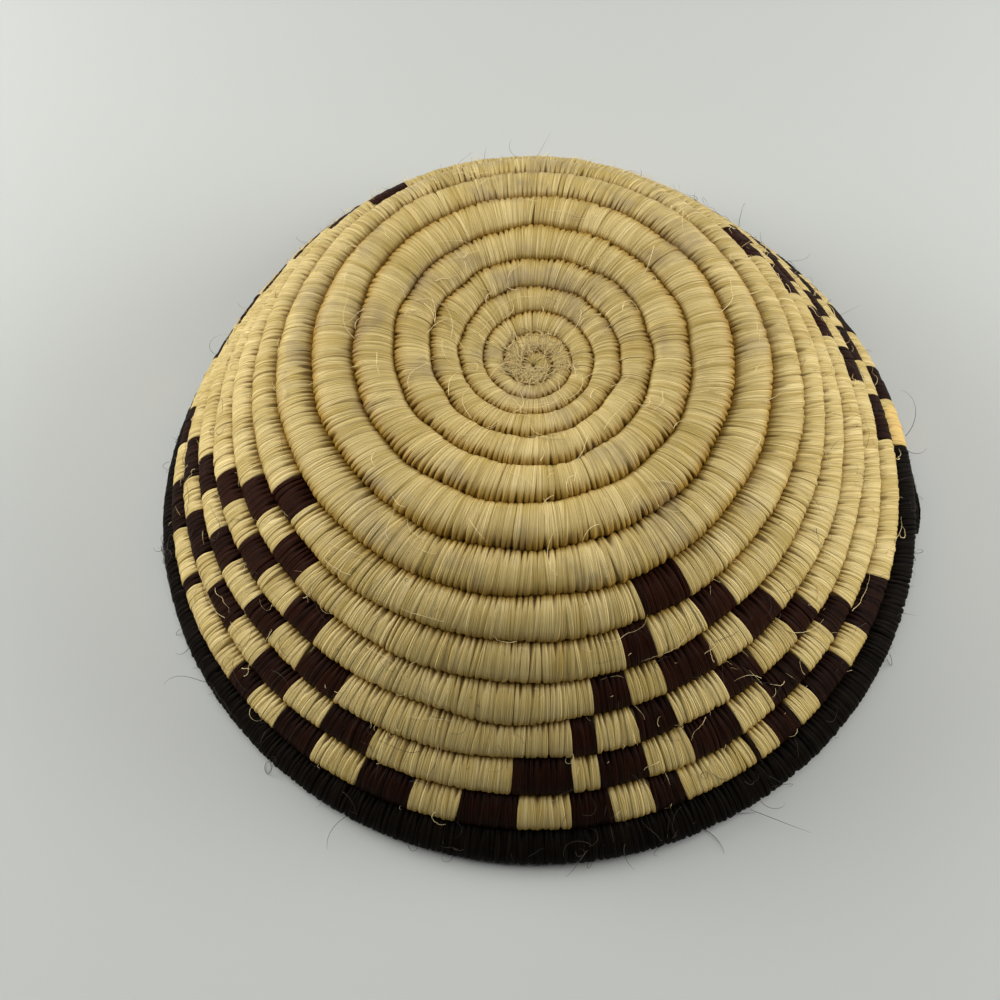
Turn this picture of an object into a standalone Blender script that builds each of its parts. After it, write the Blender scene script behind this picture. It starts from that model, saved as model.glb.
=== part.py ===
"""A coiled basket bowl, standing on its rim with its base up.

A bundle of grass is coiled from a knot in the middle of the base out to the rim. Raffia wraps the
bundle all the way and binds each turn to the turn inside it. Seen from above, the coil runs
outwards clockwise. The origin is the centre of the rim circle on the ground, and +Z is up.

A place on the coil is a turn: 0 is where the coil leaves the knot, and each whole number after it
is once round. A place on the coiled sheet is its distance from the middle of the base, measured
along the middle of the sheet's thickness.
"""

import math

import bmesh
import bpy
from mathutils import Vector

# The sheet that the coils make up: lengths in metres, slopes in degrees below level
BASE_SLOPE = -6.5
WALL_SLOPE = 55.0
BEND_START = 0.034
BEND_LENGTH = 0.078

# How far the middle of the base lies from the rim's axis, and how late the wall comes back to it
BASE_SHIFT_X = -0.0055
BASE_SHIFT_Y = 0.0047
SHIFT_POWER = 4.0

# How far the wall is pushed in on the left of the far side, as in the photo: the middle of the dent
# and its spread in degrees from +X, and how late on the wall it grows
DENT_DEPTH = 0.0039
DENT_DIRECTION = 160.0
DENT_SPREAD = 23.0
DENT_POWER = 3.3

# How far the knot lies from the middle of the coils round it, and how far out the coils follow it
KNOT_SHIFT_X = 0.0006
KNOT_SHIFT_Y = -0.0033
KNOT_SHIFT_REACH = 0.022

# Coil width across the sheet, with the turns where it grows and narrows
FIRST_COIL_WIDTH = 0.0065
BASE_COIL_WIDTH = 0.0152
RIM_COIL_WIDTH = 0.0140
FULL_WIDTH_TURN = 6.4
NARROWING_TURN = 9.6
NARROWED_TURN = 13.2

# Coil thickness over coil width
COIL_FLATNESS = 0.62

# Knot in the middle of the base
KNOT_RADIUS = 0.0085
KNOT_THICKNESS = 0.0052
KNOT_SHOULDER_RADIUS = 0.0060
KNOT_SHOULDER_THICKNESS = 0.0046
KNOT_EDGE_THICKNESS = 0.0020

# Raffia wrap over the bundle, and the room between neighbours
WRAP_THICKNESS = 0.0008
CORE_CLEARANCE = 0.00045
COIL_GAP = 0.0003
END_GAP = 0.0003

# Turns where the pieces begin and end
START_TIP_TURN = -0.85
WRAP_START_TURN = 0.03
DARK_START_TURN = 12.722
TAIL_START_TURN = 13.53
TAIL_END_TURN = 13.77
RIM_LINE_TURN = 14.05

# Direction of turn 0 from the bowl's axis, in degrees from +X
START_DIRECTION = 270.0

# How much of the coil is pressed flat where the bowl rests, on its rim and on its base
RIM_LAND_DEPTH = 0.0004
BASE_LAND_DEPTH = 0.0014

# Mesh fineness
STATIONS_PER_TURN = 24
COIL_SIDES = 8
PROFILE_STEP = 0.0005

# A station closer to an end than this share of a step is left out
END_STEP_SHARE = 0.001

# Faces that meet at more than this many degrees keep a sharp edge
SHARP_ANGLE = 50.0

NATURAL_RAFFIA = ((0.66, 0.51, 0.27), 0.62)
DARK_RAFFIA = ((0.030, 0.016, 0.012), 0.58)
FOUNDATION_GRASS = ((0.42, 0.32, 0.16), 0.85)


def eased(share):
    """A smooth step: 0 up to share 0, 1 from share 1."""
    held = min(max(share, 0.0), 1.0)
    return held * held * (3.0 - 2.0 * held)


def eased_area(share):
    """The area under eased from 0 to share."""
    held = min(max(share, 0.0), 1.0)
    return held ** 3 - held ** 4 / 2.0 + max(share - 1.0, 0.0)


def coil_line(turn):
    """Distance along the sheet to the line between this turn and the one inside it."""
    held = min(max(turn, 0.0), RIM_LINE_TURN)
    growth = (BASE_COIL_WIDTH - FIRST_COIL_WIDTH) * FULL_WIDTH_TURN * eased_area(held / FULL_WIDTH_TURN)
    narrowing_turns = NARROWED_TURN - NARROWING_TURN
    narrowing_share = (held - NARROWING_TURN) / narrowing_turns
    narrowing = (BASE_COIL_WIDTH - RIM_COIL_WIDTH) * narrowing_turns * eased_area(narrowing_share)
    return KNOT_RADIUS + FIRST_COIL_WIDTH * held + growth - narrowing


def sheet_slope(distance):
    """Angle of the sheet below level, in radians."""
    bent = eased((distance - BEND_START) / BEND_LENGTH)
    return math.radians(BASE_SLOPE + (WALL_SLOPE - BASE_SLOPE) * bent)


def sheet_profile(length):
    """Radius and drop of the sheet at even steps from its middle, one step past the length."""
    points = [(0.0, 0.0)]
    for step in range(int(length / PROFILE_STEP) + 2):
        slope = sheet_slope((step + 0.5) * PROFILE_STEP)
        radius, drop = points[-1]
        points.append((radius + PROFILE_STEP * math.cos(slope), drop + PROFILE_STEP * math.sin(slope)))
    return points


SHEET_LENGTH = coil_line(RIM_LINE_TURN)
PROFILE = sheet_profile(SHEET_LENGTH)


def direction(turn):
    """Angle of a turn from +X, in radians: the coil runs clockwise seen from above."""
    return math.radians(START_DIRECTION - 360.0 * turn)


def sheet_point(distance, turn):
    """A point on the middle of the sheet, with the middle of the base at height 0."""
    step = min(int(distance / PROFILE_STEP), len(PROFILE) - 2)
    share = distance / PROFILE_STEP - step
    radius = PROFILE[step][0] * (1.0 - share) + PROFILE[step + 1][0] * share
    drop = PROFILE[step][1] * (1.0 - share) + PROFILE[step + 1][1] * share
    base_shift = 1.0 - (distance / SHEET_LENGTH) ** SHIFT_POWER
    knot_shift = math.exp(-((distance / KNOT_SHIFT_REACH) ** 2))
    angle = direction(turn)
    off_dent = (math.degrees(angle) - DENT_DIRECTION + 180.0) % 360.0 - 180.0
    dent = DENT_DEPTH * math.exp(-((off_dent / DENT_SPREAD) ** 2))
    radius -= dent * (distance / SHEET_LENGTH) ** DENT_POWER
    return Vector((
        radius * math.cos(angle) + BASE_SHIFT_X * base_shift + KNOT_SHIFT_X * knot_shift,
        radius * math.sin(angle) + BASE_SHIFT_Y * base_shift + KNOT_SHIFT_Y * knot_shift,
        -drop,
    ))


def coil_ring(turn, inset, sides):
    """Points round the coil at a turn, inset from its skin, starting at its outer edge."""
    inner = sheet_point(coil_line(turn), turn)
    outer = sheet_point(coil_line(turn + 1.0), turn)
    across = outer - inner
    half_width = (across.length - COIL_GAP) / 2.0 - inset
    half_thickness = COIL_FLATNESS * across.length / 2.0 - inset
    across.normalize()
    angle = direction(turn)
    along = Vector((-math.sin(angle), math.cos(angle), 0.0))
    out = across.cross(along).normalized()
    if out.z < 0.0:
        out.negate()
    middle = (inner + outer) / 2.0
    ring = []
    for side in range(sides):
        around = math.tau * side / sides
        ring.append(middle + across * half_width * math.cos(around) + out * half_thickness * math.sin(around))
    return ring


def stations(start, end):
    """Turns from start to end at the spacing that all the coils share, counted from the dark start."""
    first = math.floor((start - DARK_START_TURN) * STATIONS_PER_TURN + END_STEP_SHARE)
    last = math.ceil((end - DARK_START_TURN) * STATIONS_PER_TURN - END_STEP_SHARE)
    between = [DARK_START_TURN + step / STATIONS_PER_TURN for step in range(first + 1, last)]
    return [start] + between + [end]


def trimmed(start, end):
    """The same stretch, shortened at each end by half of the gap to the next piece."""
    start_radius = sheet_point(coil_line(start + 0.5), start).xy.length
    end_radius = sheet_point(coil_line(end + 0.5), end).xy.length
    return start + END_GAP / (2.0 * math.tau * start_radius), end - END_GAP / (2.0 * math.tau * end_radius)


def lowest_rim_point():
    """Height of the rim coil's lowest point under the middle of the base."""
    rim_turns = stations(DARK_START_TURN, TAIL_START_TURN)
    return min(point.z for turn in rim_turns for point in coil_ring(turn, 0.0, COIL_SIDES))


def highest_base_point():
    """Height of the base's highest coil over the middle of the base."""
    turns = stations(WRAP_START_TURN, DARK_START_TURN)
    return max(point.z for turn in turns for point in coil_ring(turn, 0.0, COIL_SIDES))


BASE_HEIGHT = -lowest_rim_point() - RIM_LAND_DEPTH
BASE_LAND_HEIGHT = BASE_HEIGHT + highest_base_point() - BASE_LAND_DEPTH


def clear_scene():
    for obj in list(bpy.data.objects):
        bpy.data.objects.remove(obj, do_unlink=True)


def finish(name, look):
    """A plain material in the colour of its fibre."""
    colour, roughness = look
    material = bpy.data.materials.new(name)
    material.use_nodes = True
    shader = material.node_tree.nodes["Principled BSDF"]
    shader.inputs["Base Color"].default_value = (*colour, 1.0)
    shader.inputs["Roughness"].default_value = roughness
    shader.inputs["Metallic"].default_value = 0.0
    return material


def add_object(name, mesh, material, collection):
    mesh.materials.append(material)
    mesh.shade_smooth()
    mesh.set_sharp_from_angle(angle=math.radians(SHARP_ANGLE))
    obj = bpy.data.objects.new(name, mesh)
    collection.objects.link(obj)
    return obj


def coil_mesh(name, turns, inset, sides, capped):
    """A loft through the coil's rings: a tube that is open, or closed by a face at each end."""
    shape = bmesh.new()
    rings = []
    for turn in turns:
        ring = []
        for point in coil_ring(turn, inset, sides):
            height = min(max(point.z + BASE_HEIGHT, inset), BASE_LAND_HEIGHT - inset)
            ring.append(shape.verts.new((point.x, point.y, height)))
        rings.append(ring)
    for ring, following in zip(rings, rings[1:]):
        for side in range(sides):
            beside = (side + 1) % sides
            shape.faces.new((ring[side], ring[beside], following[beside], following[side]))
    if capped:
        shape.faces.new(rings[0])
        shape.faces.new(rings[-1])
    bmesh.ops.recalc_face_normals(shape, faces=shape.faces)
    mesh = bpy.data.meshes.new(name)
    shape.to_mesh(mesh)
    shape.free()
    return mesh


def add_wrap(name, start, end, material, collection):
    """The raffia round one stretch of the bundle: a thin tube, open at both ends."""
    turns = stations(*trimmed(start, end))
    wrap = add_object(name, coil_mesh(name, turns, 0.0, COIL_SIDES, False), material, collection)
    wall = wrap.modifiers.new("raffia_wall", "SOLIDIFY")
    wall.thickness = WRAP_THICKNESS
    wall.offset = -1.0
    wall.use_even_offset = True
    return wrap


def add_solid_coil(name, start, end, material, collection):
    """A stretch that is raffia all through, where the bundle has been thinned out."""
    turns = stations(*trimmed(start, end))
    return add_object(name, coil_mesh(name, turns, 0.0, COIL_SIDES, True), material, collection)


def add_core(name, start, end, material, collection):
    """The bundle inside the wraps."""
    inset = WRAP_THICKNESS + CORE_CLEARANCE
    turns = stations(*trimmed(start, end))
    return add_object(name, coil_mesh(name, turns, inset, COIL_SIDES, True), material, collection)


def add_knot(name, material, collection):
    """The knot: a turned button, thickest in its middle."""
    edge_radius = KNOT_RADIUS - COIL_GAP / 2.0
    outline = [
        (0.0, KNOT_THICKNESS / 2.0),
        (KNOT_SHOULDER_RADIUS, KNOT_SHOULDER_THICKNESS / 2.0),
        (edge_radius, KNOT_EDGE_THICKNESS / 2.0),
        (edge_radius, -KNOT_EDGE_THICKNESS / 2.0),
        (KNOT_SHOULDER_RADIUS, -KNOT_SHOULDER_THICKNESS / 2.0),
        (0.0, -KNOT_THICKNESS / 2.0),
    ]
    mesh = bpy.data.meshes.new(name)
    points = [(across, 0.0, height) for across, height in outline]
    edges = [(place, place + 1) for place in range(len(outline) - 1)]
    mesh.from_pydata(points, edges, [])
    knot = add_object(name, mesh, material, collection)
    turning = knot.modifiers.new("turning", "SCREW")
    turning.steps = STATIONS_PER_TURN
    turning.render_steps = STATIONS_PER_TURN
    turning.use_merge_vertices = True
    turning.merge_threshold = 0.00001
    middle = (sheet_point(KNOT_RADIUS, 0.0) + sheet_point(KNOT_RADIUS, 0.5)) / 2.0
    knot.location = (middle.x, middle.y, middle.z + BASE_HEIGHT)
    return knot


def build():
    clear_scene()
    collection = bpy.data.collections.new("basket_bowl")
    bpy.context.scene.collection.children.link(collection)
    natural = finish("natural_raffia", NATURAL_RAFFIA)
    dark = finish("dark_raffia", DARK_RAFFIA)
    grass = finish("foundation_grass", FOUNDATION_GRASS)

    add_knot("start_knot", natural, collection)
    add_solid_coil("start_tip", START_TIP_TURN, WRAP_START_TURN, natural, collection)
    whole_turns = math.floor(DARK_START_TURN - WRAP_START_TURN)
    seams = [DARK_START_TURN - whole_turns + turn for turn in range(whole_turns + 1)]
    starts = [WRAP_START_TURN] + seams
    for number, (start, end) in enumerate(zip(starts, starts[1:]), 1):
        add_wrap(f"wrap_turn_{number:02d}", start, end, natural, collection)
    add_wrap("rim_wrap", DARK_START_TURN, TAIL_START_TURN, dark, collection)
    add_solid_coil("rim_tail", TAIL_START_TURN, TAIL_END_TURN, dark, collection)
    add_core("foundation_core", WRAP_START_TURN, TAIL_START_TURN, grass, collection)


build()
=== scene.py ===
"""The look of a coiled basket bowl: raffia strands, dark blocks and loose fibres over its solids.

The bowl stands on its rim with its base up. A place along the coil is a turn: 0 is where the coil
leaves the knot, and each whole number after it is once round, clockwise seen from above. A place
round the coil's section is an angle: 0 is its outer edge, a quarter turn is its outer face, half a
turn is its inner edge, and three quarters is the face inside the bowl. Lengths are in metres.
"""

import logging
from dataclasses import dataclass, field, replace
from enum import Enum

import bpy
import numpy as np
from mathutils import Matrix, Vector


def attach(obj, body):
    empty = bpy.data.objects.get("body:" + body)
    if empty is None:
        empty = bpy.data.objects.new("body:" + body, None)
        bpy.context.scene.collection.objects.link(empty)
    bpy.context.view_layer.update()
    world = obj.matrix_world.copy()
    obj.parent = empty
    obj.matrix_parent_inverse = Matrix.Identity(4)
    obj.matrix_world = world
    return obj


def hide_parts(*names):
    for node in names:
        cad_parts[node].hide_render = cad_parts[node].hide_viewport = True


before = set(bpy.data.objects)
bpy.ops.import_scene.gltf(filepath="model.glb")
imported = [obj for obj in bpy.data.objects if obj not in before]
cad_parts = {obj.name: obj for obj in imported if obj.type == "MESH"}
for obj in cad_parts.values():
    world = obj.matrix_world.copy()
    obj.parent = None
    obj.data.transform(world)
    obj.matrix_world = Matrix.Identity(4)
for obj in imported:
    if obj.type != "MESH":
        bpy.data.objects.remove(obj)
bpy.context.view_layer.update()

LOG = logging.getLogger("basket_bowl")
MILLIMETRE = 0.001
TINY = 1.0e-12
Colour = tuple[float, float, float]
Point = tuple[float, float, float]
Range = tuple[float, float, float, float]


class Fibre(Enum):
    """The two raffias that the coil is wrapped with."""

    NATURAL = "natural_raffia"
    DARK = "dark_raffia"


def eased(share: np.ndarray) -> np.ndarray:
    """A smooth step: 3 u squared less 2 u cubed, with u the share held between 0 and 1.

    Args:
        share: How far along the step each value is.

    Returns:
        Values from 0 to 1.
    """
    held = np.clip(share, 0.0, 1.0)
    return held * held * (3.0 - 2.0 * held)


def eased_area(share: np.ndarray) -> np.ndarray:
    """The area under eased from 0 to share: u cubed less half of u to the fourth, then level.

    Args:
        share: How far along the step each value is.

    Returns:
        The areas.
    """
    held = np.clip(share, 0.0, 1.0)
    return held**3 - held**4 / 2.0 + np.maximum(share - 1.0, 0.0)


def unit(vectors: np.ndarray) -> np.ndarray:
    """Each vector over its own length."""
    return vectors / np.maximum(np.linalg.norm(vectors, axis=-1, keepdims=True), TINY)


@dataclass
class CoilPath:
    """The bowl's coiled sheet: a spiral of touching coils on a dished base and a sloping wall.

    The slopes are in degrees below level, going outwards.
    """

    base_slope: float = -6.5
    wall_slope: float = 55.0
    bend_start: float = 0.034
    bend_length: float = 0.078
    base_shift: tuple[float, float] = (-0.0055, 0.0047)
    shift_power: float = 4.0
    dent_depth: float = 0.0039
    dent_direction: float = 160.0
    dent_spread: float = 23.0
    dent_power: float = 3.3
    tail_swell: float = 0.0027
    tail_swell_turn: float = 13.745
    tail_swell_spread: float = 0.012
    knot_shift: tuple[float, float] = (0.0006, -0.0033)
    knot_shift_reach: float = 0.022
    base_height: float = 0.090488
    knot_radius: float = 0.0085
    first_width: float = 0.0065
    base_width: float = 0.0152
    rim_width: float = 0.0140
    full_width_turn: float = 6.4
    narrowing_turn: float = 9.6
    narrowed_turn: float = 13.2
    rim_line_turn: float = 14.05
    first_turn: float = -2.2
    last_turn: float = 13.757
    flatness: float = 0.66
    squareness: float = 2.05
    coil_gap: float = -0.0005
    start_direction: float = 270.0
    wander_depth: float = 0.00022
    wander_waves: tuple[float, ...] = (3.37, 5.81, 9.43, 14.69)
    wander_offset: float = 0.37
    wander_start: float = 1.0
    wander_rise: float = 2.0
    wander_stop: float = 12.4
    wander_fall: float = 0.5
    kink_turn: float = 9.998
    kink_span: float = 0.022
    kink_depth: float = 0.0013
    table_step: float = 0.00025
    table_turns: int = 12000
    table_margin: float = 0.1
    slope_steps: float = 4.0
    least_half: float = 1.0e-5
    tables: dict[str, np.ndarray] = field(default_factory=dict)

    def __post_init__(self) -> None:
        """Works out the sheet's profile and the coil's length, which later steps look up."""
        length = float(self.line(np.array([self.rim_line_turn]))[0])
        steps = np.arange(int(length / self.table_step) + 8)
        bent = eased(((steps + 0.5) * self.table_step - self.bend_start) / self.bend_length)
        slope = np.radians(self.base_slope + (self.wall_slope - self.base_slope) * bent)
        self.tables["distance"] = np.append(0.0, (steps + 1) * self.table_step)
        self.tables["radius"] = np.append(0.0, np.cumsum(np.cos(slope)) * self.table_step)
        self.tables["drop"] = np.append(0.0, np.cumsum(np.sin(slope)) * self.table_step)
        self.tables["sheet"] = np.array([length])
        first, last = self.first_turn - self.table_margin, self.last_turn + self.table_margin
        turns = np.linspace(first, last, self.table_turns)
        inner, outer = self.edges(turns)
        strides = np.linalg.norm(np.diff((inner + outer) / 2.0, axis=0), axis=1)
        self.tables["turn"] = turns
        self.tables["along"] = np.append(0.0, np.cumsum(strides))

    def line(self, turn: np.ndarray) -> np.ndarray:
        """Distance along the sheet to the line between a turn and the one inside it.

        The coil's width rises and falls by smooth steps, and the line is the area under it. The
        line wanders by a sum of slow waves, and has one kink.

        Args:
            turn: Places along the coil.

        Returns:
            Distances from the middle of the base.
        """
        held = np.clip(turn, 0.0, self.rim_line_turn)
        grown = self.base_width - self.first_width
        growth = grown * self.full_width_turn * eased_area(held / self.full_width_turn)
        narrowing_turns = self.narrowed_turn - self.narrowing_turn
        narrowed = eased_area((held - self.narrowing_turn) / narrowing_turns)
        narrowing = (self.base_width - self.rim_width) * narrowing_turns * narrowed
        plain = self.knot_radius + self.first_width * held + growth - narrowing
        swirl = np.maximum(self.knot_radius + self.first_width * turn, 0.0)
        waves = sum(
            np.sin(wave * (turn + self.wander_offset * number) * np.pi * 2.0)
            for number, wave in enumerate(self.wander_waves)
        )
        free = eased((turn - self.wander_start) / self.wander_rise)
        free = free * (1.0 - eased((turn - self.wander_stop) / self.wander_fall))
        kink = self.kink_depth * np.exp(-(((turn - self.kink_turn) / self.kink_span) ** 2))
        return np.where(turn < 0.0, swirl, plain) + self.wander_depth * waves * free + kink

    def sheet_point(self, distance: np.ndarray, turn: np.ndarray) -> np.ndarray:
        """Points on the middle of the sheet.

        Radius and height come from the profile's table, and the direction runs clockwise with
        the turn. The middle of the base is shifted aside, less and less towards the rim, and the
        knot a little more, by a bell curve. The wall is pushed in by a bell curve of direction.

        Args:
            distance: Distances from the middle of the base, along the sheet.
            turn: Places along the coil, for the direction.

        Returns:
            Points, in the last axis.
        """
        radius = np.interp(distance, self.tables["distance"], self.tables["radius"])
        drop = np.interp(distance, self.tables["distance"], self.tables["drop"])
        shift = 1.0 - (distance / self.tables["sheet"]) ** self.shift_power
        bell = np.exp(-((distance / self.knot_shift_reach) ** 2))
        degrees = self.start_direction - 360.0 * turn
        off_dent = np.mod(degrees - self.dent_direction + 180.0, 360.0) - 180.0
        dent = self.dent_depth * np.exp(-((off_dent / self.dent_spread) ** 2))
        radius = radius - dent * (distance / self.tables["sheet"]) ** self.dent_power
        angle = np.radians(degrees)
        return np.stack(
            (
                radius * np.cos(angle) + self.base_shift[0] * shift + self.knot_shift[0] * bell,
                radius * np.sin(angle) + self.base_shift[1] * shift + self.knot_shift[1] * bell,
                self.base_height - drop,
            ),
            axis=-1,
        )

    def edges(self, turn: np.ndarray) -> tuple[np.ndarray, np.ndarray]:
        """The inner and outer edge of the coil at each place along it."""
        inner = self.sheet_point(self.line(turn), turn)
        return inner, self.sheet_point(self.line(turn + 1.0), turn)

    def outwards(self, turn: np.ndarray, across: np.ndarray) -> np.ndarray:
        """Directions out of the sheet: the unit cross product of the coil's run and a vector.

        Args:
            turn: Places along the coil.
            across: Vectors across the coil.

        Returns:
            Unit vectors that point upwards.
        """
        angle = np.radians(self.start_direction - 360.0 * turn)
        along = np.stack((-np.sin(angle), np.cos(angle), np.zeros_like(angle)), axis=-1)
        out = unit(np.cross(along, across))
        return out * np.sign(out[..., 2:3] + TINY)

    def resting_point(
        self, distance: np.ndarray, turn: np.ndarray, bridging: float
    ) -> tuple[np.ndarray, np.ndarray]:
        """Points just outside the coils, where something thin would lie on them.

        The height over the sheet is the superellipse's half height at the place between the two
        edges of the coil there, and over a groove a share of the crest's height is kept.

        Args:
            distance: Distances from the middle of the base, along the sheet.
            turn: Places along the coil, of which only the direction counts.
            bridging: The share of the crest's height that is kept over a groove.

        Returns:
            The points, and the directions out of the sheet.
        """
        nearest = np.interp(distance, self.line(self.tables["turn"]), self.tables["turn"])
        width = self.line(nearest + 0.5) - self.line(nearest - 0.5)
        place = np.mod(nearest - turn, 1.0)
        hollow = np.abs(2.0 * place - 1.0) ** self.squareness
        profile = (1.0 - np.minimum(hollow, 1.0)) ** (1.0 / self.squareness)
        step = self.table_step * self.slope_steps
        ahead = self.sheet_point(distance + step, turn) - self.sheet_point(distance - step, turn)
        out = self.outwards(turn, ahead)
        height = self.flatness * width / 2.0 * (bridging + (1.0 - bridging) * profile)
        return self.sheet_point(distance, turn) + out * height[..., None], out

    def skin(
        self, turn: np.ndarray, around: np.ndarray, inset: float = 0.0
    ) -> tuple[np.ndarray, np.ndarray, np.ndarray]:
        """Points on the coil's smooth skin.

        The section is a flattened superellipse: the powers of cosine and sine, 2 over the
        squareness, times half of the width and half of the thickness. Near the tail's end it
        is moved outwards by a bell curve, where the bound end stands off the rim.

        Args:
            turn: Places along the coil.
            around: Angles round the section, as many as the turns.
            inset: How far inside the skin.

        Returns:
            The points, the directions out of the skin, and the coil's width at each.
        """
        inner, outer = self.edges(turn)
        across = outer - inner
        width = np.linalg.norm(across, axis=-1)
        across = unit(across)
        out = self.outwards(turn, across)
        half_width = np.maximum((width - self.coil_gap) / 2.0 - inset, self.least_half)
        half_thickness = np.maximum(self.flatness * width / 2.0 - inset, self.least_half)
        cosine, sine = np.cos(around), np.sin(around)
        power = 2.0 / self.squareness
        reach = np.sign(cosine) * np.abs(cosine) ** power * half_width
        rise = np.sign(sine) * np.abs(sine) ** power * half_thickness
        off_tail = (turn - self.tail_swell_turn) / self.tail_swell_spread
        reach = reach + self.tail_swell * np.exp(-(off_tail**2))
        points = (inner + outer) / 2.0 + across * reach[..., None] + out * rise[..., None]
        facing = unit(
            across * (cosine * half_thickness)[..., None] + out * (sine * half_width)[..., None]
        )
        return points, facing, width

    def along(self, turn: np.ndarray) -> np.ndarray:
        """Length of coil from its start to each turn."""
        return np.interp(turn, self.tables["turn"], self.tables["along"])

    def turn_at(self, along: np.ndarray) -> np.ndarray:
        """The turn at each length of coil from its start."""
        return np.interp(along, self.tables["along"], self.tables["turn"])


@dataclass(frozen=True)
class Motif:
    """A stepped pyramid of dark blocks: its row 1 is a block, and each row outwards has one more.

    Each row holds the places where the fibre changes, dark first, in millimetres along the coil
    from the pyramid's middle.
    """

    middle: float
    rows: tuple[tuple[float, ...], ...]


def even_rows(count: int, block: float) -> tuple[tuple[float, ...], ...]:
    """Rows of blocks and gaps that all have one width.

    Args:
        count: How many rows.
        block: Width of a block, and of the gap beside it, in millimetres.

    Returns:
        The places where the fibre changes, for each row.
    """
    return tuple(
        tuple(block * (step - row + 0.5) for step in range(2 * row)) for row in range(1, count + 1)
    )


@dataclass(frozen=True)
class Pattern:
    """Where the coil is wrapped dark: four stepped pyramids on the wall, and the rim.

    A motif's middle is counted in turns from first_row_turn, and a turn more for each row. From
    amber_turn to the rim the strands are a yellower natural fibre.
    """

    first_row_turn: float = 6.0
    row_seam: float = 0.76
    rows: int = 6
    rim_turn: float = 12.722
    amber_turn: float = 12.7035
    near_right: Motif = Motif(
        0.9111,
        (
            (-8, 8),
            (-22, -10, 8, 18),
            (-38, -24, -10, 8, 20, 32),
            (-53, -42, -25, -11, 8, 21, 35, 43),
            (-71, -58, -43, -26, -12, 6, 22, 38, 47, 67),
            (-96, -74, -61, -44, -34, -24, -16, -14, 13, 24, 38, 52, 70, 90),
        ),
    )
    near_left: Motif = Motif(
        1.1538,
        (
            (-7, 5),
            (-21, -8, 4, 18),
            (-38, -24, -9, 5, 20, 32),
            (-55, -38, -24, -10, 6, 20, 36, 50),
            (-74, -56, -40, -24, -8, 8, 21, 38, 52, 69),
            (-96, -77, -59, -42, -29, -18, 18, 22, 42, 62, 78, 94),
        ),
    )
    far_left: Motif = Motif(1.3925, even_rows(6, 15.2))
    far_right: Motif = Motif(
        1.6389,
        (
            (-12, 4),
            (-19, -8, 3, 18),
            (-37, -23, -8, 8, 20, 34),
            (-53, -39, -24, -9, 8, 21, 35, 50),
            (-72, -57, -42, -26, -10, 8, 22, 38, 53, 72),
            (-87, -72, -56, -41, -25, -11, 6, 21, 38, 53),
        ),
    )

    def changes(self, path: CoilPath) -> np.ndarray:
        """Lengths of coil where dark fibre starts and ends, in turn, for all rows.

        Args:
            path: The coil.

        Returns:
            Pairs of start and end along the coil, in order.
        """
        pairs = []
        for motif in (self.near_right, self.near_left, self.far_left, self.far_right):
            for row, places in enumerate(motif.rows):
                middle = path.along(np.array([self.row_turn(row) + motif.middle]))[0]
                edges = middle + np.array(places) * MILLIMETRE
                pairs.extend(edges.reshape(-1, 2).tolist())
        pairs.append(path.along(np.array([self.rim_turn, path.last_turn])).tolist())
        return np.array(sorted(pairs))

    def row_turn(self, row: int) -> float:
        """The whole turn that a row's middles are counted from."""
        return self.first_row_turn + row


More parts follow.
